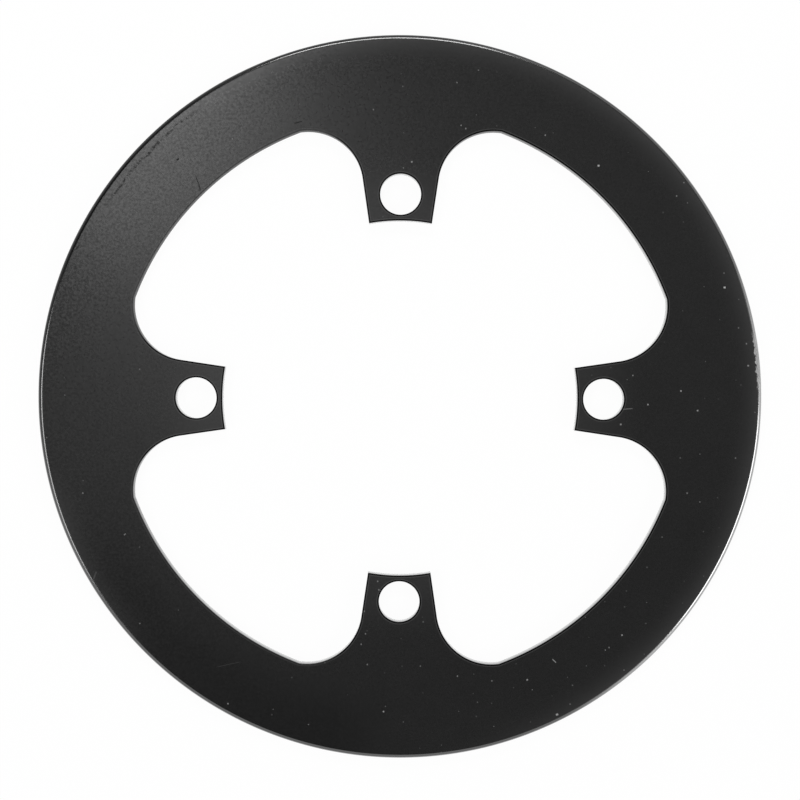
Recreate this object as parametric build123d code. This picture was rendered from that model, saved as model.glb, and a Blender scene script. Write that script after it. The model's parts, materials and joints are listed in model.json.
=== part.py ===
from build123d import *

import math
import os

# Bicycle chain guard: one flat aluminium plate, bolted beside a chainring on a four-arm crank.
# Millimetres. The plate lies in XY with its back face on Z = 0 and its outer face towards +Z.
# The origin is the centre of the bolt circle, and one tab points along +X.

# Bolting to the crank
bolt_circle_diameter = 104.0
bolt_count = 4
bolt_hole_diameter = 10.4

# Plate and rounded rim
outer_diameter = 185.0
plate_thickness = 3.0
rim_land = 0.3  # narrow cylinder left halfway up the rounded rim
edge_break = 0.1  # chamfer along the open centre and round the bolt holes

# Open centre: lobes between tapered tabs
lobe_diameter = 145.2
tab_nose_wall = 1.5  # metal between a bolt hole and the end of its tab
tab_nose_width = 16.0  # across the two corners of a tab end
tab_side_angle = 8.4  # degrees that each tab side opens outwards
root_radius = 14.1
root_reach = 0.42  # how far the circle of a root arc passes the lobe circle

# The tab ends are hollow arcs about the centre, just inside the bolt holes.
tab_nose_diameter = bolt_circle_diameter - bolt_hole_diameter - 2 * tab_nose_wall

outer_radius = outer_diameter / 2
rim_radius = (plate_thickness - rim_land) / 2
lobe_radius = lobe_diameter / 2
nose_radius = tab_nose_diameter / 2
tab_spacing = 360 / bolt_count


def direction(vector):
    """Angle of a vector from +X, in degrees."""
    return math.degrees(math.atan2(vector.Y, vector.X))


def half_tab():
    """One side of the tab on +X: its straight side and the root arc that runs into a lobe.

    The root arc is tangent to the side. It meets the lobe circle at a slight corner, because
    its own circle reaches past the lobes by root_reach. Returns the two edges, the angle of the
    nose corner and the angle of the corner on the lobe circle, both in degrees about the centre.
    """
    along = Vector(1, 0).rotate(Axis.Z, tab_side_angle)
    across = along.rotate(Axis.Z, 90)
    half_width = tab_nose_width / 2
    nose_corner = Vector(math.sqrt(nose_radius**2 - half_width**2), half_width)

    # The arc's centre is one radius off the side and at a set distance from the plate's centre.
    centre_distance = lobe_radius + root_reach - root_radius
    beside_corner = nose_corner + across * root_radius
    projection = beside_corner.dot(along)
    to_centre = math.sqrt(projection**2 + centre_distance**2 - beside_corner.length**2)
    side_length = to_centre - projection
    root_start = nose_corner + along * side_length
    root_centre = beside_corner + along * side_length

    # Law of cosines in the triangle of both centres and the corner on the lobe circle.
    squares = centre_distance**2 + lobe_radius**2 - root_radius**2
    past_corner = math.acos(squares / (2 * centre_distance * lobe_radius))
    lobe_angle = direction(root_centre) - math.degrees(past_corner)
    lobe_corner = Vector(lobe_radius, 0).rotate(Axis.Z, lobe_angle)

    arc_start = tab_side_angle - 90
    arc_size = direction(lobe_corner - root_centre) - arc_start
    side = Line(nose_corner, root_start)
    root = CenterArc(root_centre, root_radius, arc_start, arc_size)
    return [side, root], direction(nose_corner), lobe_angle


def open_centre():
    """Face of the lobed opening: a tab and the lobe arc after it, repeated round the centre."""
    upper_half, nose_angle, lobe_angle = half_tab()
    lower_half = [mirror(edge, Plane.XZ) for edge in upper_half]
    nose = CenterArc((0, 0), nose_radius, -nose_angle, 2 * nose_angle)
    lobe = CenterArc((0, 0), lobe_radius, lobe_angle, tab_spacing - 2 * lobe_angle)
    sector = lower_half + [nose] + upper_half + [lobe]
    return make_face([place * edge for place in PolarLocations(0, bolt_count) for edge in sector])


def guard_plate():
    """The whole guard: a disc with a rounded rim, the open centre and the bolt holes."""
    disc = extrude(Circle(outer_radius), plate_thickness)
    disc = fillet(disc.edges().filter_by(GeomType.CIRCLE), rim_radius)

    bolt_holes = PolarLocations(bolt_circle_diameter / 2, bolt_count) * Circle(bolt_hole_diameter / 2)
    plate = disc - extrude(open_centre() + bolt_holes, plate_thickness)

    flat_faces = plate.faces().filter_by(Axis.Z)
    cut_edges = [edge for face in flat_faces for wire in face.inner_wires() for edge in wire.edges()]
    return chamfer(cut_edges, edge_break)


os.makedirs("parts", exist_ok=True)
export_step(guard_plate(), "parts/guard_plate.step")
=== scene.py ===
"""Studio picture of a bicycle chain guard: a black anodised plate that lies flat under a camera.

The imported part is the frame. Its one node is replaced by a finer mesh of the same form, with the
finish and wear of the real plate. Lengths are metres, in the frame of the part, and the finish of
the plate is placed in millimetres.
"""
import functools
import json
import math

import bpy
import numpy as np
from bpy.props import FloatProperty, FloatVectorProperty, PointerProperty
from mathutils import Euler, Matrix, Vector
from mathutils.geometry import delaunay_2d_cdt


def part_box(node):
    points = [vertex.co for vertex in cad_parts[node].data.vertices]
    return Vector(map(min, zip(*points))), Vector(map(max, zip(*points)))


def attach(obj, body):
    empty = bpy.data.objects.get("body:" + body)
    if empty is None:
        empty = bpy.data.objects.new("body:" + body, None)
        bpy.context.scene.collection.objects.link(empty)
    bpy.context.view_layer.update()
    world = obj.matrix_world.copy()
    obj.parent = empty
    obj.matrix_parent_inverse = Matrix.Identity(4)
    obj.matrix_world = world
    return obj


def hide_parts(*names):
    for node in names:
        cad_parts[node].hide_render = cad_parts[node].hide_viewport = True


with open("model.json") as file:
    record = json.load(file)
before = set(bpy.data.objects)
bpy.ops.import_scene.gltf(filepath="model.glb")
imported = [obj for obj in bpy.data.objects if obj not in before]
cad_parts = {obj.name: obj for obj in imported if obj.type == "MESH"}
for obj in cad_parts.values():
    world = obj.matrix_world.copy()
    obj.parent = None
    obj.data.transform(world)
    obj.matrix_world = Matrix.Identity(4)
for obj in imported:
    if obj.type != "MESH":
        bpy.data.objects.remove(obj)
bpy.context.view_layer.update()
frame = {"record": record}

bl_info = {
    "name": "Bicycle Chain Guard",
    "version": (1, 0, 0),
    "blender": (4, 5, 0),
    "location": "3D View > Sidebar > Chain Guard",
    "description": "Builds a black anodised chain guard plate and a plain studio round it",
    "category": "Add Mesh",
}

PLATE_NODE = "guard_plate"
PLATE_BODY = "root"
PLATE_PIECE = "chain_guard"
MILLIMETRE = 0.001

plate_low, plate_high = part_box(PLATE_NODE)
mounts = {mount["name"]: mount for mount in frame["record"]["mounts"]}
bolts = mounts["bolt_circle"]["dims"]
tab_spacing = math.tau / bolts["count"]


def length(name, description, default):
    """A length property in metres."""
    return FloatProperty(name=name, description=description, default=default, unit="LENGTH", precision=5)


class GuardSizes(bpy.types.PropertyGroup):
    """Sizes of the plate. Those of the frame are read from it.

    The rest repeat the solid's, but for the edge strip, which places the painted dark shade line and the pale
    halo beside the cut edges.
    """

    outer_radius: length("Outer radius", "Centre to the rim", plate_high.x)
    thickness: length("Thickness", "Back face to outer face", plate_high.z - plate_low.z)
    bolt_radius: length("Bolt circle radius", "Centre to each bolt", bolts["pcd_mm"] / 2 * MILLIMETRE)
    hole_radius: length("Bolt hole radius", "Radius of each bolt hole", bolts["hole_r_mm"] * MILLIMETRE)
    rim_land: length("Rim land", "Flat strip halfway up the rounded rim", 0.0003)
    edge_break: length("Edge break", "Radius along the open centre and the holes", 0.0001)
    # The edge strips place the painted dark shade line along the cut edges and the pale halo behind it.
    edge_strip: length("Edge strip", "Width of each strip of uneven dye beside those edges", 0.0002)
    lobe_radius: length("Lobe radius", "Centre to the lobes of the opening", 0.0726)
    nose_wall: length("Nose wall", "Metal between a bolt hole and its tab's end", 0.0015)
    nose_width: length("Nose width", "Width of a tab across its end", 0.016)
    side_angle: FloatProperty(
        name="Side angle", description="How far each tab side opens outwards",
        default=math.radians(8.4), subtype="ANGLE")
    root_radius: length("Root radius", "Radius of the arc from a tab into a lobe", 0.0141)
    root_reach: length("Root reach", "How far a root arc's circle passes the lobe circle", 0.00042)


class GuardFinish(bpy.types.PropertyGroup):
    """Colour and gloss of the plate."""

    anodised: FloatVectorProperty(
        name="Anodised black", description="Colour of the dyed surface", subtype="COLOR",
        default=(0.0132, 0.0132, 0.0132))
    # The dust colour is also the pale grey painted inside the rim, partly as painted sheen, on the tab ends
    # and in the halo.
    dust: FloatVectorProperty(
        name="Dust", description="Colour of dust and fine scratches", subtype="COLOR", default=(0.4, 0.4, 0.4))
    roughness: FloatProperty(
        name="Roughness", description="Roughness of the satin surface", subtype="FACTOR", default=0.21)
    mark_roughness: FloatProperty(
        name="Mark roughness", description="Roughness of dust, scratches and scuffs", subtype="FACTOR",
        default=0.6)
    edge_roughness: FloatProperty(
        name="Edge roughness", description="Roughness of the rim and the cut walls", subtype="FACTOR",
        default=0.14)
    coat_roughness: FloatProperty(
        name="Seal roughness", description="Roughness of the clear seal on the edges", subtype="FACTOR",
        default=0.17)
    bare_metal: FloatVectorProperty(
        name="Bare metal", description="Colour of the metal where the rim's dye is worn", subtype="COLOR",
        default=(0.31, 0.31, 0.31))
    grain_depth: length("Grain depth", "Depth of the fine grain all over", 0.000004)


class GuardStudio(bpy.types.PropertyGroup):
    """Floor, surroundings and camera."""

    floor_white: FloatVectorProperty(
        name="Floor", description="Colour of the floor", subtype="COLOR", default=(0.92, 0.92, 0.92))
    floor_plain: FloatProperty(
        name="Plain floor", description="Share of plain white that the camera sees, the rest being lit",
        subtype="FACTOR", default=0.96)
    base_level: FloatProperty(
        name="Base level", description="Brightness of the surroundings all round", default=0.03)
    sky_level: FloatProperty(
        name="Sky level", description="Added brightness overhead", default=0.09)
    ring_level: FloatProperty(
        name="Ring level", description="Added brightness near the horizon", default=1.1)
    haze_level: FloatProperty(
        name="Haze level", description="Added brightness overhead towards +Y", default=0.13)
    glow_level: FloatProperty(
        name="Glow level", description="Added brightness overhead, a little towards -X", default=1.0)
    right_level: FloatProperty(
        name="Right level", description="Added brightness near the horizon towards +X", default=0.6)
    camera_distance: length("Camera distance", "From the outer face", 0.395)
    camera_lens: FloatProperty(
        name="Lens", description="Focal length in millimetres", default=69.66, subtype="DISTANCE_CAMERA")


# Loops and surfaces

# Points along each stretch of the outlines
ROOT_POINTS = 48
SIDE_POINTS = 12
NOSE_POINTS = 24
LOBE_POINTS = 96
HOLE_POINTS = 96
RIM_POINTS = 1440

# Steps down the rounded rim and the rounded cut edges, and strips on the flat beside a cut edge. The
# strips of a bolt hole and of its tab's end, and both edge breaks, have to fit in the nose wall.
RIM_STEPS = 14
EDGE_STEPS = 4
EDGE_STRIPS = 3

# Point attributes of the cut edges: the pale halo, and the painted dark shade line
EDGE_HALO = "edge_halo"
EDGE_SHADE_LINE = "edge_shade_line"

# Edges that turn by more stay sharp in the shading
SHARP_ANGLE = math.radians(25)

# Points of a flat that lie closer are taken as one
SAME_POINT = 1e-9


def arc_points(centre, radius, start, stop, count):
    """Points on an arc: centre + radius (cos a, sin a), for equal steps of a, its last end left off."""
    angle = np.linspace(start, stop, count, endpoint=False)
    return np.column_stack((centre[0] + radius * np.cos(angle), centre[1] + radius * np.sin(angle)))


def line_points(start, stop, count):
    """Points on a straight run: start + (stop - start) t, for equal steps of t, its last end left off."""
    return start + (stop - start) * np.linspace(0, 1, count, endpoint=False)[:, None]


def turned(points, angle):
    """Points turned about the origin by an angle: (x cos a - y sin a, x sin a + y cos a)."""
    cosine, sine = math.cos(angle), math.sin(angle)
    return points @ np.array([[cosine, sine], [-sine, cosine]])


def at_tabs(points):
    """The points of the tab on +X, repeated at every tab."""
    return [turned(points, tab_spacing * tab) for tab in range(bolts["count"])]


def opening_loop(sizes):
    """Outline of the open centre, with the metal on its left.

    Each tab has a hollow nose about the centre and two sides that open outwards. A root arc, tangent
    to the side, runs on to the lobe circle and meets it at a slight corner. The arc's centre is
    one radius off the side, and lobe radius + reach - root radius from the plate's centre.
    """
    along = np.array([math.cos(sizes.side_angle), math.sin(sizes.side_angle)])
    across = np.array([-along[1], along[0]])
    nose_radius = sizes.bolt_radius - sizes.hole_radius - sizes.nose_wall
    half_width = sizes.nose_width / 2
    nose_angle = math.asin(half_width / nose_radius)
    nose_corner = np.array([nose_radius * math.cos(nose_angle), half_width])

    distance = sizes.lobe_radius + sizes.root_reach - sizes.root_radius
    beside = nose_corner + across * sizes.root_radius
    projection = beside @ along
    side_length = math.sqrt(projection**2 + distance**2 - beside @ beside) - projection
    root_start = nose_corner + along * side_length
    root_centre = beside + along * side_length

    # Law of cosines in the triangle of both centres and the corner on the lobe circle.
    squares = distance**2 + sizes.lobe_radius**2 - sizes.root_radius**2
    lobe_angle = math.atan2(root_centre[1], root_centre[0])
    lobe_angle -= math.acos(squares / (2 * distance * sizes.lobe_radius))
    lobe_corner = sizes.lobe_radius * np.array([math.cos(lobe_angle), math.sin(lobe_angle)])
    to_lobe = lobe_corner - root_centre
    root_angle = math.atan2(to_lobe[1], to_lobe[0])

    mirrored = np.array([1, -1])
    side_turn = math.pi / 2 - sizes.side_angle
    tab_and_lobe = np.concatenate((
        arc_points(root_centre * mirrored, sizes.root_radius, -root_angle, side_turn, ROOT_POINTS),
        line_points(root_start * mirrored, nose_corner * mirrored, SIDE_POINTS),
        arc_points((0, 0), nose_radius, -nose_angle, nose_angle, NOSE_POINTS),
        line_points(nose_corner, root_start, SIDE_POINTS),
        arc_points(root_centre, sizes.root_radius, -side_turn, root_angle, ROOT_POINTS),
        arc_points((0, 0), sizes.lobe_radius, lobe_angle, tab_spacing - lobe_angle, LOBE_POINTS),
    ))
    return np.concatenate(at_tabs(tab_and_lobe))[::-1]


def mitres(loop):
    """Outward vector at each point of a closed loop with the metal on its left.

    It is the sum of the normals of both neighbouring runs over one plus their dot product, so that
    a wall that is moved along it stays parallel to itself round a corner.
    """
    run = np.roll(loop, -1, axis=0) - loop
    normal = np.column_stack((run[:, 1], -run[:, 0])) / np.linalg.norm(run, axis=1)[:, None]
    before = np.roll(normal, 1, axis=0)
    return (normal + before) / (1 + np.sum(normal * before, axis=1))[:, None]


def rounded_edge(thickness, radius, steps):
    """Section of a rounded edge, as inset and height from the outer flat to the back flat.

    A quarter circle goes down from the outer flat, inset r (1 - sin a) and height t - r (1 - cos a).
    The back repeats it upside down, and the straight wall lies between the two.
    """
    angle = np.linspace(0, math.pi / 2, steps + 1)
    inset = radius * (1 - np.sin(angle))
    drop = radius * (1 - np.cos(angle))
    front = np.column_stack((inset, thickness - drop))
    back = np.column_stack((inset, drop))[::-1]
    return np.concatenate((front, back))


def with_margins(section, margins):
    """A section with points added on both flats, past its ends by each margin, the widest margin first."""
    strips = np.column_stack((margins, np.zeros(len(margins))))
    return np.concatenate((section[:1] + strips, section, section[-1:] + strips[::-1]))


def sweep(loop, section):
    """A section carried round a loop: point (i, j) is loop i less mitre i times inset j, at height j."""
    flat = loop[:, None, :] - mitres(loop)[:, None, :] * section[None, :, :1]
    height = np.broadcast_to(section[None, :, 1:], (len(loop), len(section), 1))
    return np.concatenate((flat, height), axis=2)


def rim_rounding(sizes):
    """Radius of the rim's section, which leaves the land halfway up."""
    return (sizes.thickness - sizes.rim_land) / 2


def plate_bands(sizes):
    """Swept bands from the outer flat to the back flat: the rim, then the opening and the bolt holes."""
    rim = rounded_edge(sizes.thickness, rim_rounding(sizes), RIM_STEPS)
    margins = sizes.edge_strip * np.arange(EDGE_STRIPS, 0, -1)
    cut = with_margins(rounded_edge(sizes.thickness, sizes.edge_break, EDGE_STEPS), margins)
    outer = arc_points((0, 0), sizes.outer_radius, 0, math.tau, RIM_POINTS)
    hole = arc_points((sizes.bolt_radius, 0), sizes.hole_radius, math.tau, 0, HOLE_POINTS)
    return [sweep(outer, rim)] + [sweep(loop, cut) for loop in (opening_loop(sizes), *at_tabs(hole))]


def band_quads(index):
    """Quads of a grid of vertex numbers that is closed along its first axis."""
    after = np.roll(index, -1, axis=0)
    return np.stack((index[:, :-1], index[:, 1:], after[:, 1:], after[:, :-1]), axis=-1).reshape(-1, 4)


def flat_triangles(points, loops):
    """Triangles of the flat between the rim and the cut-outs in it, counter-clockwise.

    The first loop of vertex numbers is the rim. A triangle is metal when it comes from no other loop.
    """
    numbers = np.concatenate(loops)
    ends = np.cumsum([len(loop) for loop in loops])
    rim, *cuts = np.split(np.arange(len(numbers)), ends[:-1])
    outlines = [rim.tolist()] + [cut[::-1].tolist() for cut in cuts]
    inside_only = 1
    flat = [Vector(point) for point in points[numbers, :2]]
    _, _, faces, sources, _, owners = delaunay_2d_cdt(flat, [], outlines, inside_only, SAME_POINT)
    metal = [face for face, owner in zip(faces, owners) if list(owner) == [0]]
    source = np.array([origin[0] for origin in sources])
    return numbers[source[np.array(metal)]]


def add_edge_shares(mesh, grids):
    """Point attributes that are one on some columns of the cut edges' grids, and nothing elsewhere.

    Each grid starts with the strips on the outer flat. The halo is on the second column. The painted
    dark shade line goes from the third column to the foot of the outer rounded edge.
    """
    columns = {EDGE_HALO: slice(1, 2), EDGE_SHADE_LINE: slice(2, EDGE_STRIPS + EDGE_STEPS + 1)}
    for name, chosen in columns.items():
        share = np.zeros(len(mesh.vertices), np.float32)
        for grid in grids:
            share[grid[:, chosen]] = 1
        mesh.attributes.new(name, "FLOAT", "POINT").data.foreach_set("value", share)


def plate_mesh(sizes):
    """Closed mesh of the plate: its swept bands, the outer flat between them, and the same on the back."""
    bands = plate_bands(sizes)
    points = np.concatenate([band.reshape(-1, 3) for band in bands])
    ends = np.cumsum([band.shape[0] * band.shape[1] for band in bands])
    parts = np.split(np.arange(len(points)), ends[:-1])
    grids = [part.reshape(band.shape[:2]) for part, band in zip(parts, bands)]
    quads = np.concatenate([band_quads(grid) for grid in grids])
    front = flat_triangles(points, [grid[:, 0] for grid in grids])
    to_back = np.arange(len(points))
    for grid in grids:
        to_back[grid[:, 0]] = grid[:, -1]
    back = to_back[front[:, ::-1]]

    mesh = bpy.data.meshes.new(PLATE_PIECE)
    mesh.from_pydata(points.tolist(), [], quads.tolist() + front.tolist() + back.tolist())
    mesh.set_sharp_from_angle(angle=SHARP_ANGLE)
    smooth = np.arange(len(mesh.polygons)) < len(quads)
    mesh.polygons.foreach_set("use_smooth", smooth)
    add_edge_shares(mesh, grids[1:])
    mesh.update()
    return mesh


# Shader graphs

UP = (0, 0, 1)


def compass(degrees):
    """Level unit vector at an azimuth from +X."""
    turn = math.radians(degrees)
    return math.cos(turn), math.sin(turn), 0


class Graph:
    """Adds nodes to a shader tree and joins them. Inputs are numbers, colours or sockets, in order."""

    def __init__(self, owner):
        owner.use_nodes = True
        self.tree = owner.node_tree
        self.tree.nodes.clear()

    def node(self, kind, *values, **settings):
        """New node with its settings and its first inputs."""
        made = self.tree.nodes.new("ShaderNode" + kind)
        for name, value in settings.items():
            setattr(made, name, value)
        for socket, value in zip(made.inputs, values):
            self.put(socket, value)
        return made

    def put(self, socket, value):
        """Link an input to a socket, or set its own value."""
        if isinstance(value, bpy.types.NodeSocket):
            self.tree.links.new(value, socket)
        else:
            socket.default_value = value

    def math(self, operation, *values):
        return self.node("Math", *values, operation=operation).outputs[0]

    def product(self, *values):
        return functools.reduce(functools.partial(self.math, "MULTIPLY"), values)

    def total(self, *values):
        return functools.reduce(functools.partial(self.math, "ADD"), values)

    def largest(self, *values):
        return functools.reduce(functools.partial(self.math, "MAXIMUM"), values)

    def away(self, value, middle):
        """How far a number is from the middle."""
        return self.math("ABSOLUTE", self.math("SUBTRACT", value, middle))

    def swing(self, share, reach, middle):
        """A number about the middle: middle + (share - 0.5) reach."""
        return self.math("MULTIPLY_ADD", self.math("SUBTRACT", share, 0.5), reach, middle)

    def vector(self, operation, *values):
        return self.node("VectorMath", *values, operation=operation).outputs["Vector"]

    def dot(self, vector, direction):
        return self.node("VectorMath", vector, direction, operation="DOT_PRODUCT").outputs["Value"]

    def size(self, vector):
        return self.node("VectorMath", vector, operation="LENGTH").outputs["Value"]

    def rise(self, value, start, stop, low=0.0, high=1.0):
        """Straight step from low at start to high at stop."""
        return self.node("MapRange", value, start, stop, low, high).outputs[0]

    def ramp(self, value, start, stop, low=0.0, high=1.0):
        """Smooth step from low at start to high at stop."""
        made = self.node("MapRange", value, start, stop, low, high, interpolation_type="SMOOTHSTEP")
        return made.outputs[0]

    def mix(self, share, first, second):
        """Number between the first and the second, by share."""
        return self.rise(share, 0.0, 1.0, first, second)

    def blend(self, share, first, second):
        """Colour between the first and the second, by share."""
        made = self.node("Mix", data_type="RGBA")
        for name, value in (("Factor_Float", share), ("A_Color", first), ("B_Color", second)):
            self.put(next(socket for socket in made.inputs if socket.identifier == name), value)
        return next(socket for socket in made.outputs if socket.identifier == "Result_Color")


# Finish of the plate, placed in millimetres

# Noise: cells in a millimetre, detail and roughness
GRAIN = (1.6, 0.0, 0.5)
CLOUD = (0.16, 3.0, 0.6)
BREAKS = (1.9, 3.0, 0.7)
RAGGED = (1.3, 3.0, 0.7)

# Sectors of the plate: azimuth from +X, half width and soft run beyond it, in degrees
SCUFFED = (136, 7, 5)
# The painted shade line at the rim's start lies in the next sector.
RIM_SHADE_SECTOR = (138, 14, 16)
POLISHED = (112, 8, 20)
# The pale grey inside the rim, partly wear and partly painted sheen, shows in the next two sectors.
RUBBED_AND_SHEEN = (30, 75, 45)
LESS_RUBBED_AND_SHEEN = (-152, 4, 14)
CHIPPED = (6.2, 2.0, 3)
WORN = (-20, 22, 22)
# The black is darker in the outer half of the lower left, in the next sector.
DARKER_LOWER_LEFT = (-125, 20, 17)

# Steps from nothing to one, by depth below the outer face
FACE_STEP = (0.15, 0.05)
EDGE_STEP = (0.01, 0.035)

# Steps by the distance past the bolt circle, past the lobes and along X
TAB_END_STEP = (12, -6)
LOBE_STEP = (-6.6, -1.6)
DARKER_STEP = (-0.6, 13.4)
LEFT_STEP = (0, -20)

# Steps by the distance past the shoulder, where the rim starts to round over
STRIP_RISE = (-8.65, 0.35)
STRIP_END = (0.65, 0.25)
CHIP_STEP = (0.75, 1.05)
WEAR_STEP = (0.15, 0.45)

# The scuff and the painted shade line run along the rim: middle past the shoulder, and step by the distance
# from it
SCUFF_MIDDLE = -1.75
SCUFF_STEP = (0.5, 0.1)
RIM_SHADE_MIDDLE = 0.27
RIM_SHADE_STEP = (0.2, 0.06)

# How far the noise moves the scuff and the edge of the chips
SCUFF_WAVER = 2.4
CHIP_WAVER = 1.6

# The scuff is broken where its noise is below this step
BREAK_STEP = (0.44, 0.58)
SCUFF_STRENGTH = 0.55

# Scattered dust: cells in a millimetre, and the share of them with a speck, which grows towards one side
DUST_CELLS = 0.21
DUST_SIDE = (0.9, -0.45, 0)
DUST_STEP = (-70, 60)
DUST_SHARE = (0.08, 0.36)

# Its specks: least and most reach in cells, least and most strength, and step by the share of the reach
DUST_REACH = (0.03, 0.06)
DUST_STRENGTH = (0.08, 0.36)
SPECK_STEP = (1.0, 0.4)

# How much of the dust's grey is painted in: inside the rim, where it is partly wear and partly painted sheen,
# on the tab ends, and in the halo
RIM_SHEEN_AND_WEAR = 0.056
TAB_END_GREY = 0.025
HALO_GREY = 0.09

# Strength of the pale grey in the less rubbed sector, and of the halo along the left lobes
LESS_RUBBING_AND_SHEEN = 0.6
LEFT_HALO = 0.5

# What is left of the black, and of its gloss, where it is darkest: in the painted shade line along the cut
# edges, in the painted shade line at the rim's start, in the darker lower left, and on dull marks
EDGE_SHADE_LEFT = 0.1
RIM_SHADE_LEFT = 0.2
DARKER_LEFT = 0.6
DULL_GLOSS_LEFT = 0.3

# Clouds in the black, and grain in the roughness, both as multiples
CLOUD_TINT = (0.8, 1.1)
GRAIN_ROUGHNESS = (0.85, 1.15)

# Specular level: its middle on the face, the reach of the grain in it by side, and its level on the edges
FACE_GLOSS = 0.5
GRAIN_REACH = (0.25, 0.6)
GRAIN_SIDE = (-0.74, 0.67, 0)
GRAIN_STEP = (64, 80)
POLISH_GAIN = 1.35
EDGE_GLOSS = 1.02

ANODISED_IOR = 1.5
SEAL_IOR = 1.4

# Soft ends of a mark as shares of its length, and soft sides as shares of its width, outer one first
MARK_ENDS = (0.6, 0.4)
MARK_SIDES = (0.8, 0.2)

# Marks on the outer face: x, y, length and width in millimetres, direction in degrees, and strength
PALE_STREAKS = (
    (58.2, -2.43, 2.4, 0.20, 4.6, 0.25),
    (-43.6, -68.3, 6.0, 0.16, 12.5, 0.05),
    (-77.9, -45.6, 2.2, 0.36, 68.0, 0.07),
    (-54.4, 60.7, 3.8, 0.18, 3.0, 0.10),
    (39.8, -67.1, 1.2, 0.24, -43.0, 0.5),
    (-70.2, -35.0, 0.6, 0.30, 40.0, 0.30),
    (40.6, -80.9, 0.6, 0.44, 20.0, 0.70),
    (73.5, -23.9, 0.3, 0.40, 0.0, 0.36),
)
DARK_STREAKS = (
    (-51.5, 54.6, 3.8, 0.24, -72.0, 0.65),
    (-26.1, 70.1, 1.8, 0.30, 15.0, 0.8),
    (-56.7, 60.6, 0.6, 0.40, 30.0, 0.9),
    (-82.2, 38.2, 1.4, 0.34, 50.0, 0.8),
)

# Specks on the outer face by size: x and y in millimetres, and strength
LARGE_SPECKS = ((82.6, 28.6, 0.95), (50.3, 59.4, 0.80))
MIDDLE_SPECKS = (
    (76.0, -2.8, 0.60), (71.7, 2.2, 0.60), (32.9, -72.0, 0.60), (-3.9, -80.3, 0.60), (63.3, -1.3, 0.55),
    (57.1, -60.4, 0.55), (88.8, 8.7, 0.55), (2.8, 60.2, 0.50), (56.4, -6.4, 0.55),
)
SMALL_SPECKS = (
    (15.3, 69.5, 0.40), (16.5, 68.7, 0.40), (-5.5, -46.8, 0.35), (-5.2, -49.0, 0.40), (-8.9, -54.5, 0.30),
    (-8.6, -60.3, 0.35), (-9.7, -63.0, 0.35), (-8.1, -68.2, 0.35), (15.0, -71.1, 0.40), (36.7, 67.1, 0.45),
    (88.3, 14.3, 0.42), (59.4, 6.1, 0.42), (53.8, -63.6, 0.36), (70.2, 51.8, 0.36), (-43.8, -78.4, 0.50),
    (-7.0, 73.4, 0.30), (14.2, 80.3, 0.30),
)


def as_marks(specks, run, width):
    """Specks as marks of one length and width along X."""
    return tuple((x, y, run, width, 0.0, strength) for x, y, strength in specks)


PALE_MARKS = (
    *PALE_STREAKS,
    *as_marks(LARGE_SPECKS, run=0.5, width=0.42),
    *as_marks(MIDDLE_SPECKS, run=0.4, width=0.36),
    *as_marks(SMALL_SPECKS, run=0.3, width=0.34),
)


class PlateGraph(Graph):
    """Shader graph of the plate, with what its finish is placed by.

    Everything comes from the plate's own coordinates: the place, its part in XY, the direction from the
    centre, and the distance from the centre as it lies past the bolt circle, the lobes and the shoulder.
    """

    def __init__(self, owner, sizes):
        super().__init__(owner)
        spot = self.node("TexCoord").outputs["Object"]
        self.place = self.vector("MULTIPLY", spot, (1 / MILLIMETRE,) * 3)
        self.level = self.vector("MULTIPLY", self.place, (1, 1, 0))
        self.facing = self.vector("NORMALIZE", self.level)
        radius = self.size(self.level)
        shoulder = sizes.outer_radius - rim_rounding(sizes)
        self.past_bolts = self.math("SUBTRACT", radius, sizes.bolt_radius / MILLIMETRE)
        self.past_lobes = self.math("SUBTRACT", radius, sizes.lobe_radius / MILLIMETRE)
        self.past_shoulder = self.math("SUBTRACT", radius, shoulder / MILLIMETRE)

        # The edge is the rounded rim, the cut walls and all else below the outer face.
        depth = self.math("SUBTRACT", sizes.thickness / MILLIMETRE, self.dot(self.place, UP))
        self.outer_face = self.ramp(depth, *FACE_STEP)
        self.edge = self.ramp(depth, *EDGE_STEP)

        self.grain = self.noise(*GRAIN)
        self.cloud = self.noise(*CLOUD)

    def noise(self, scale, detail, roughness):
        return self.node("TexNoise", self.place, 0.0, scale, detail, roughness).outputs[0]

    def attribute(self, name):
        return self.node("Attribute", attribute_name=name).outputs["Fac"]

    def sector(self, azimuth, half, soft):
        """One within half a width of an azimuth, falling to nothing over a soft run beyond it."""
        towards = self.dot(self.facing, compass(azimuth))
        return self.ramp(towards, math.cos(math.radians(half + soft)), math.cos(math.radians(half)))


def mark_mask(graph, marks):
    """Largest of the marks, each its strength inside a thin box whose sides and ends are soft."""
    boxes = []
    for x, y, run, width, degrees, strength in marks:
        offset = graph.vector("SUBTRACT", graph.place, (x, y, 0))
        along = graph.math("ABSOLUTE", graph.dot(offset, compass(degrees)))
        across = graph.math("ABSOLUTE", graph.dot(offset, compass(degrees + 90)))
        ends = graph.ramp(along, run * MARK_ENDS[0], run * MARK_ENDS[1], high=strength)
        sides = graph.ramp(across, width * MARK_SIDES[0], width * MARK_SIDES[1])
        boxes.append(graph.product(ends, sides))
    return graph.largest(*boxes)


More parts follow.
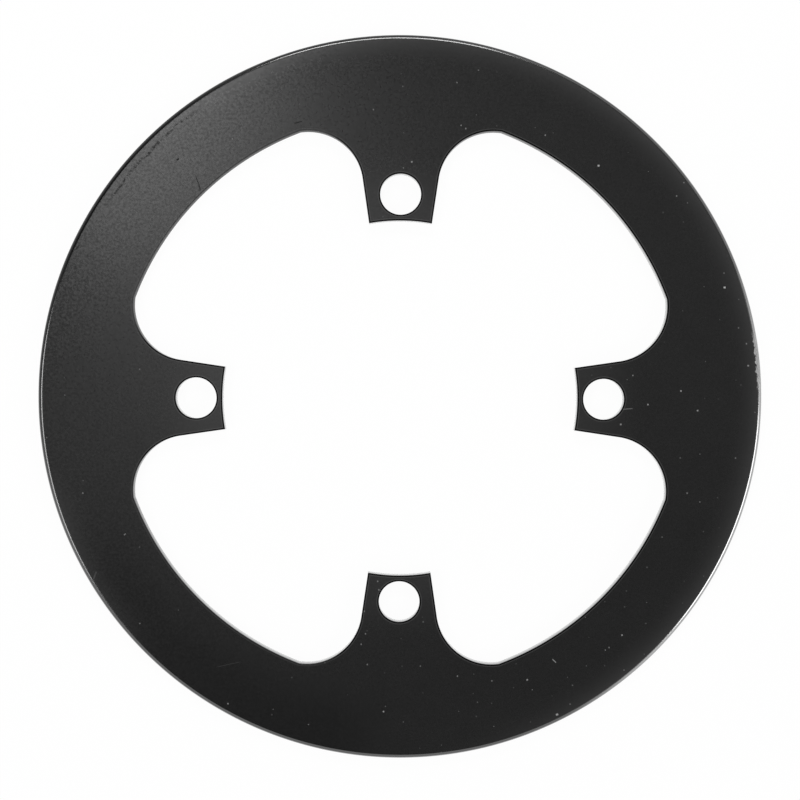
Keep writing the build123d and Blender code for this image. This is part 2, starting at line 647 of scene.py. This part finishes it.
def scattered_dust(graph):
    """Specks in the middle of some cells of a scattered pattern, more of them towards the lower right.

    Each cell's colour draws whether it has a speck, and the speck's reach and strength.
    """
    cells = graph.node("TexVoronoi", graph.level, 0.0, DUST_CELLS, voronoi_dimensions="2D")
    draw = graph.node("SeparateXYZ", cells.outputs["Color"])
    share = graph.ramp(graph.dot(graph.place, DUST_SIDE), *DUST_STEP, *DUST_SHARE)
    chosen = graph.math("LESS_THAN", draw.outputs[0], share)
    reach = graph.mix(draw.outputs[1], *DUST_REACH)
    strength = graph.mix(graph.math("POWER", draw.outputs[2], 2.0), *DUST_STRENGTH)
    distance = graph.math("DIVIDE", cells.outputs["Distance"], reach)
    return graph.product(graph.ramp(distance, *SPECK_STEP, high=strength), chosen)


def rim_scuff(graph):
    """A broken scuff that wavers along the inside of the shoulder at the upper left."""
    track = graph.swing(graph.cloud, SCUFF_WAVER, graph.past_shoulder)
    line = graph.ramp(graph.away(track, SCUFF_MIDDLE), *SCUFF_STEP)
    broken = graph.ramp(graph.noise(*BREAKS), *BREAK_STEP, high=SCUFF_STRENGTH)
    return graph.product(line, broken, graph.sector(*SCUFFED))


def edge_shade_and_halo(graph):
    """Painted shade beside the cut edges: what is left of the black in a dark line of painted edge shade, and
    a pale halo behind it.

    Along the two lobes on the left the halo is weaker and there is no line.
    """
    leftward = graph.ramp(graph.dot(graph.place, (1, 0, 0)), *LEFT_STEP)
    left_lobes = graph.product(graph.ramp(graph.past_lobes, *LOBE_STEP), leftward)
    line = graph.product(graph.attribute(EDGE_SHADE_LINE), graph.mix(left_lobes, 1.0, 0.0), graph.outer_face)
    halo = graph.product(graph.attribute(EDGE_HALO), graph.mix(left_lobes, 1.0, LEFT_HALO), graph.outer_face)
    return graph.mix(line, 1.0, EDGE_SHADE_LEFT), halo


def rim_strip(graph):
    """Strip inside the rim: the cube of a straight rise outwards, ended where the rim rounds over."""
    outwards = graph.rise(graph.past_shoulder, *STRIP_RISE)
    return graph.product(graph.math("POWER", outwards, 3.0), graph.ramp(graph.past_shoulder, *STRIP_END))


def pale_grey_and_sheen(graph, strip, halo):
    """Pale grey painted in: on the strip inside the rim, where it is partly wear and partly painted sheen, on
    the tab ends and in the halo.
    """
    less_rubbed_and_sheen = graph.product(graph.sector(*LESS_RUBBED_AND_SHEEN), LESS_RUBBING_AND_SHEEN)
    rubbed_and_sheen = graph.largest(graph.sector(*RUBBED_AND_SHEEN), less_rubbed_and_sheen)
    return graph.total(
        graph.product(strip, rubbed_and_sheen, RIM_SHEEN_AND_WEAR),
        graph.product(graph.ramp(graph.past_bolts, *TAB_END_STEP), TAB_END_GREY),
        graph.product(halo, HALO_GREY))


def rim_chips(graph):
    """Ragged chips in the rounded rim at the right."""
    depth = graph.math("MULTIPLY_ADD", graph.noise(*RAGGED), CHIP_WAVER, graph.past_shoulder)
    return graph.product(graph.ramp(depth, *CHIP_STEP), graph.sector(*CHIPPED))


def rim_wear(graph):
    """Bare metal on the rounded rim, at the right and below it."""
    return graph.product(graph.ramp(graph.past_shoulder, *WEAR_STEP), graph.sector(*WORN))


def painted_rim_line(graph):
    """What is left of the black in a dark line of painted shade where the rim starts to round over, at the
    upper left.
    """
    line = graph.ramp(graph.away(graph.past_shoulder, RIM_SHADE_MIDDLE), *RIM_SHADE_STEP)
    return graph.mix(graph.product(line, graph.sector(*RIM_SHADE_SECTOR), graph.outer_face), 1.0, RIM_SHADE_LEFT)


def black_tint(graph):
    """Cloudy depth of the black, darker in the outer half of the lower left."""
    darker_part = graph.product(graph.ramp(graph.past_lobes, *DARKER_STEP), graph.sector(*DARKER_LOWER_LEFT))
    return graph.product(graph.mix(graph.cloud, *CLOUD_TINT), graph.mix(darker_part, 1.0, DARKER_LEFT))


def face_gloss(graph, strip, dull):
    """Specular level of the outer face, low on dull marks.

    The grain in it shows most at the upper left, and the strip inside the rim is polished at the top left.
    """
    reach = graph.ramp(graph.dot(graph.place, GRAIN_SIDE), *GRAIN_STEP, *GRAIN_REACH)
    grainy = graph.swing(graph.grain, reach, FACE_GLOSS)
    polish = graph.mix(graph.product(strip, graph.sector(*POLISHED)), 1.0, POLISH_GAIN)
    return graph.product(grainy, polish, graph.mix(dull, 1.0, DULL_GLOSS_LEFT))


def face_roughness(graph, finish):
    """Roughness of the satin face with its grain, and of the smoother edges."""
    grainy = graph.mix(graph.grain, *(finish.roughness * share for share in GRAIN_ROUGHNESS))
    return graph.mix(graph.edge, grainy, finish.edge_roughness)


def anodised_material(finish, sizes):
    """Black anodised aluminium with fine grain, uneven dye, dust, scuffs, and a chipped and worn rim,
    with painted shade lines along the cut edges and the rim's start, and painted sheen inside the rim.

    The marks lie on the outer face, and the grain is all over.
    """
    material = bpy.data.materials.new("black_anodised")
    graph = PlateGraph(material, sizes)
    strip = rim_strip(graph)
    rim_shade = painted_rim_line(graph)
    worn = rim_wear(graph)
    # The line is painted shade: a dark line along the cut edges, laid over the black and its gloss.
    line, halo = edge_shade_and_halo(graph)
    dust = graph.largest(scattered_dust(graph), mark_mask(graph, PALE_MARKS))
    dust = graph.product(dust, graph.outer_face)
    dull = graph.largest(rim_scuff(graph), mark_mask(graph, DARK_STREAKS))
    dull = graph.product(dull, graph.outer_face)
    # thin is the pale grey painted in: partly wear and partly painted sheen inside the rim, on the tab ends
    # and in the halo.
    thin = graph.product(pale_grey_and_sheen(graph, strip, halo), line)
    pale = graph.total(graph.largest(dust, rim_chips(graph)), thin)

    # The black is darkened by the painted shade lines along the cut edges and at the rim's start.
    black = graph.node("VectorMath", (*finish.anodised,), operation="SCALE")
    graph.put(black.inputs["Scale"], graph.product(black_tint(graph), line, rim_shade))
    colour = graph.blend(pale, black.outputs[0], (*finish.dust, 1))
    colour = graph.blend(worn, colour, (*finish.bare_metal, 1))

    marked = graph.largest(dull, pale)
    rough = graph.mix(marked, face_roughness(graph, finish), finish.mark_roughness)
    gloss = graph.product(face_gloss(graph, strip, dull), line)
    # The painted shade line at the rim's start also lowers the gloss and the seal.
    gloss = graph.product(graph.mix(graph.edge, gloss, EDGE_GLOSS), rim_shade)

    bump = graph.node("Bump")
    graph.put(bump.inputs["Height"], graph.grain)
    graph.put(bump.inputs["Strength"], 1.0)
    graph.put(bump.inputs["Distance"], finish.grain_depth)

    shader = graph.node("BsdfPrincipled")
    graph.put(shader.inputs["Base Color"], colour)
    graph.put(shader.inputs["Roughness"], rough)
    graph.put(shader.inputs["Metallic"], worn)
    graph.put(shader.inputs["IOR"], ANODISED_IOR)
    graph.put(shader.inputs["Specular IOR Level"], gloss)
    graph.put(shader.inputs["Normal"], bump.outputs[0])
    graph.put(shader.inputs["Coat Weight"], graph.product(graph.edge, rim_shade))
    graph.put(shader.inputs["Coat Roughness"], finish.coat_roughness)
    graph.put(shader.inputs["Coat IOR"], SEAL_IOR)
    graph.put(shader.inputs["Coat Normal"], bump.outputs[0])
    graph.node("OutputMaterial", shader.outputs[0])
    return material


# Studio

# Floor: half of its side, and the gap between it and the plate
FLOOR_HALF = 3.0
FLOOR_GAP = 0.00005

# Camera: sensor in millimetres, nearest sight, the point that it looks at, and its turn from straight down
SENSOR_WIDTH = 36
CAMERA_CLIP = 0.01
CAMERA_TARGET = (0.00003, -0.00037, plate_high.z)
CAMERA_TURN = (math.radians(-1.4), 0, math.radians(0.21))

# Painted shade on the floor in reflections: directions away from the key lamp, steps along them, and least
# brightness
INSIDE_SLOPE = (0.6, -0.8, 0)
INSIDE_STEP = (-0.07, 0.03)
INSIDE_LEAST = 0.25
OUTSIDE_SLOPE = (0.5, -0.87, 0)
OUTSIDE_STEP = (-0.09, 0.0)
OUTSIDE_LEAST = 0.35

# Steps by the distance past the lobes: from the middle of the opening, and from there to outside
BESIDE_LOBES = (-0.0146, -0.0026)
UNDER_PLATE = (0.0054, 0.0124)

# Soft boxes: azimuth from +X and lean from the vertical in degrees, and the side along the lean first
SOFT_BOXES = (
    dict(name="key_upper_left", azimuth=135, lean=20.5, distance=0.95, sides=(0.22, 0.22), radiance=3.4),
    dict(name="box_left", azimuth=191, lean=38, distance=1.0, sides=(0.24, 0.46), radiance=7.4),
    dict(name="box_top", azimuth=92, lean=50, distance=1.0, sides=(0.22, 0.52), radiance=9),
    dict(name="box_right", azimuth=-22, lean=57, distance=1.0, sides=(0.28, 0.56), radiance=4.5),
)

# Directions in the surroundings
KEY_SIDE = compass(136.94)
RIGHT_SIDE = compass(-15.47)
HAZE_SIDE = (0.35, 0.94, 0)
GLOW_SIDE = (-0.09, 0.025, 0.996)
RING_AXIS = (0.09, 0.12, 1)

# Steps of the surroundings by the height of a direction, or by how far it points to one of those above
OVERHEAD_STEP = (0.9, 0.95)
HAZE_STEP = (-0.1, 0.22)
CLEAR_OF_KEY = (0.45, 0.25)
GLOW_STEP = (0.991, 0.999)
RING_STEP = (0.78, 0.55)
RING_GAP = (0.75, 0.35)
GAP_STEP = (0.42, 0.2)
HORIZON_STEP = (0.15, 0.4)
RIGHT_STEP = (0.55, 0.85)
RIGHT_HEIGHT = (0.5, 0.35)

# Shares of the ring that are left low in its gap, and at the horizon
GAP_SHARE = 0.35
HORIZON_SHARE = 0.5


def reflected_floor(graph, sizes):
    """Brightness of the floor in reflections: white, but with painted shade towards the key lamp's side, in
    place of the plate's shadow there.

    In the open centre only the floor beside the lobes is darker.
    """
    place = graph.node("TexCoord").outputs["Object"]
    past_lobes = graph.math("SUBTRACT", graph.size(place), sizes.lobe_radius)
    beside_lobes = graph.ramp(graph.dot(place, INSIDE_SLOPE), *INSIDE_STEP, low=INSIDE_LEAST)
    inside = graph.mix(graph.ramp(past_lobes, *BESIDE_LOBES), 1.0, beside_lobes)
    outside = graph.ramp(graph.dot(place, OUTSIDE_SLOPE), *OUTSIDE_STEP, low=OUTSIDE_LEAST)
    return graph.mix(graph.ramp(past_lobes, *UNDER_PLATE), inside, outside)


def floor_material(studio, sizes):
    """White floor that the camera sees nearly plain, with a faint shadow."""
    material = bpy.data.materials.new("white_floor")
    graph = Graph(material)
    path = graph.node("LightPath")
    glossy = path.outputs["Is Glossy Ray"]
    seen = graph.product(path.outputs["Is Camera Ray"], studio.floor_plain)
    plain = graph.largest(seen, glossy, path.outputs["Is Transmission Ray"])
    lit = graph.node("BsdfDiffuse", (*studio.floor_white, 1))
    # Reflections see the floor's emission with that painted shade.
    white = graph.node("Emission", (1, 1, 1, 1), graph.mix(glossy, 1.0, reflected_floor(graph, sizes)))
    surface = graph.node("MixShader", plain, lit.outputs[0], white.outputs[0])
    graph.node("OutputMaterial", surface.outputs[0])
    return material


def add_floor(studio, sizes):
    """Square floor just under the plate."""
    height = plate_low.z - FLOOR_GAP
    corners = [(x * FLOOR_HALF, y * FLOOR_HALF, height) for x, y in ((-1, -1), (1, -1), (1, 1), (-1, 1))]
    mesh = bpy.data.meshes.new("floor")
    mesh.from_pydata(corners, [], [(0, 1, 2, 3)])
    mesh.materials.append(floor_material(studio, sizes))
    floor = bpy.data.objects.new("floor", mesh)
    bpy.context.scene.collection.objects.link(floor)


def add_lamp(name, azimuth, lean, distance, sides, radiance):
    """Soft box that faces the plate's centre and that the camera doesn't see."""
    data = bpy.data.lights.new(name, "AREA")
    data.shape = "RECTANGLE"
    data.size, data.size_y = sides
    data.energy = radiance * sides[0] * sides[1] * math.pi
    lamp = bpy.data.objects.new(name, data)
    bpy.context.scene.collection.objects.link(lamp)
    turn = Euler((0, math.radians(lean), math.radians(azimuth)))
    lamp.rotation_euler = turn
    lamp.location = turn.to_matrix() @ Vector((0, 0, distance))
    lamp.visible_camera = False


def add_camera(studio):
    """Camera that looks down on the outer face, a little from the top."""
    data = bpy.data.cameras.new("camera")
    data.lens = studio.camera_lens
    data.sensor_width = SENSOR_WIDTH
    data.clip_start = CAMERA_CLIP
    camera = bpy.data.objects.new("camera", data)
    bpy.context.scene.collection.objects.link(camera)
    turn = Euler(CAMERA_TURN)
    camera.rotation_euler = turn
    camera.location = Vector(CAMERA_TARGET) + turn.to_matrix() @ Vector((0, 0, studio.camera_distance))
    bpy.context.scene.camera = camera


def overhead_light(graph, facing, studio):
    """Dim light overhead, with haze towards +Y that keeps off the key lamp, and a glow near the zenith."""
    haze = graph.ramp(graph.dot(facing, HAZE_SIDE), *HAZE_STEP, high=studio.haze_level)
    haze = graph.product(haze, graph.ramp(graph.dot(facing, KEY_SIDE), *CLEAR_OF_KEY))
    glow = graph.ramp(graph.dot(facing, GLOW_SIDE), *GLOW_STEP, high=studio.glow_level)
    overhead = graph.ramp(graph.dot(facing, UP), *OVERHEAD_STEP)
    return graph.product(graph.total(haze, glow, studio.sky_level), overhead)


def horizon_ring(graph, facing, studio):
    """Ring of light near the horizon, which it meets at half its strength.

    It leans a little, and is open towards the key lamp, where only a weak low part is left.
    """
    height = graph.dot(facing, UP)
    ring = graph.ramp(graph.dot(facing, RING_AXIS), *RING_STEP)
    low_part = graph.ramp(height, *GAP_STEP, high=GAP_SHARE)
    gap = graph.ramp(graph.dot(facing, KEY_SIDE), *RING_GAP, low=low_part)
    horizon = graph.ramp(height, *HORIZON_STEP, low=HORIZON_SHARE)
    return graph.product(ring, gap, horizon, studio.ring_level)


def right_light(graph, facing, studio):
    """Patch of light near the horizon at the right."""
    patch = graph.ramp(graph.dot(facing, RIGHT_SIDE), *RIGHT_STEP, high=studio.right_level)
    return graph.product(patch, graph.ramp(graph.dot(facing, UP), *RIGHT_HEIGHT))


def set_world(studio):
    """Surroundings that light the plate and that the camera sees as white."""
    world = bpy.data.worlds.new("studio")
    graph = Graph(world)
    facing = graph.node("TexCoord").outputs["Generated"]
    lights = [light(graph, facing, studio) for light in (overhead_light, horizon_ring, right_light)]
    path = graph.node("LightPath")
    seen = graph.largest(path.outputs["Is Camera Ray"], path.outputs["Is Transmission Ray"])
    level = graph.mix(seen, graph.total(*lights, studio.base_level), 1.0)
    background = graph.node("Background", (1, 1, 1, 1), level)
    graph.node("OutputWorld", background.outputs[0])
    bpy.context.scene.world = world


# Add-on


class GUARD_OT_plate(bpy.types.Operator):
    """Build the guard plate with its finish"""

    bl_idname = "guard.plate"
    bl_label = "Guard Plate"

    def execute(self, context):
        sizes = context.scene.guard_sizes
        mesh = plate_mesh(sizes)
        mesh.materials.append(anodised_material(context.scene.guard_finish, sizes))
        plate = bpy.data.objects.new(PLATE_PIECE, mesh)
        context.scene.collection.objects.link(plate)
        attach(plate, PLATE_BODY)
        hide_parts(PLATE_NODE)
        return {"FINISHED"}


class GUARD_OT_stage(bpy.types.Operator):
    """Build the floor, the lamps, the camera and the surroundings"""

    bl_idname = "guard.stage"
    bl_label = "Studio"

    def execute(self, context):
        studio = context.scene.guard_studio
        add_floor(studio, context.scene.guard_sizes)
        for box in SOFT_BOXES:
            add_lamp(**box)
        add_camera(studio)
        set_world(studio)
        context.scene.view_settings.view_transform = "Standard"
        return {"FINISHED"}


class GUARD_PT_panel(bpy.types.Panel):
    """Sidebar panel with the sizes, the finish, the studio and the build buttons"""

    bl_idname = "GUARD_PT_panel"
    bl_label = "Chain Guard"
    bl_space_type = "VIEW_3D"
    bl_region_type = "UI"
    bl_category = "Chain Guard"

    def draw(self, context):
        for group in (context.scene.guard_sizes, context.scene.guard_finish, context.scene.guard_studio):
            column = self.layout.column()
            for name in group.__annotations__:
                column.prop(group, name)
        for operator in OPERATORS:
            self.layout.operator(operator.bl_idname)


OPERATORS = (GUARD_OT_plate, GUARD_OT_stage)
CLASSES = (GuardSizes, GuardFinish, GuardStudio, *OPERATORS, GUARD_PT_panel)


def register():
    for cls in CLASSES:
        bpy.utils.register_class(cls)
    bpy.types.Scene.guard_sizes = PointerProperty(type=GuardSizes)
    bpy.types.Scene.guard_finish = PointerProperty(type=GuardFinish)
    bpy.types.Scene.guard_studio = PointerProperty(type=GuardStudio)


def unregister():
    del bpy.types.Scene.guard_sizes
    del bpy.types.Scene.guard_finish
    del bpy.types.Scene.guard_studio
    for cls in reversed(CLASSES):
        bpy.utils.unregister_class(cls)


def main():
    register()
    bpy.ops.guard.plate()
    bpy.ops.guard.stage()


if __name__ == "__main__":
    main()
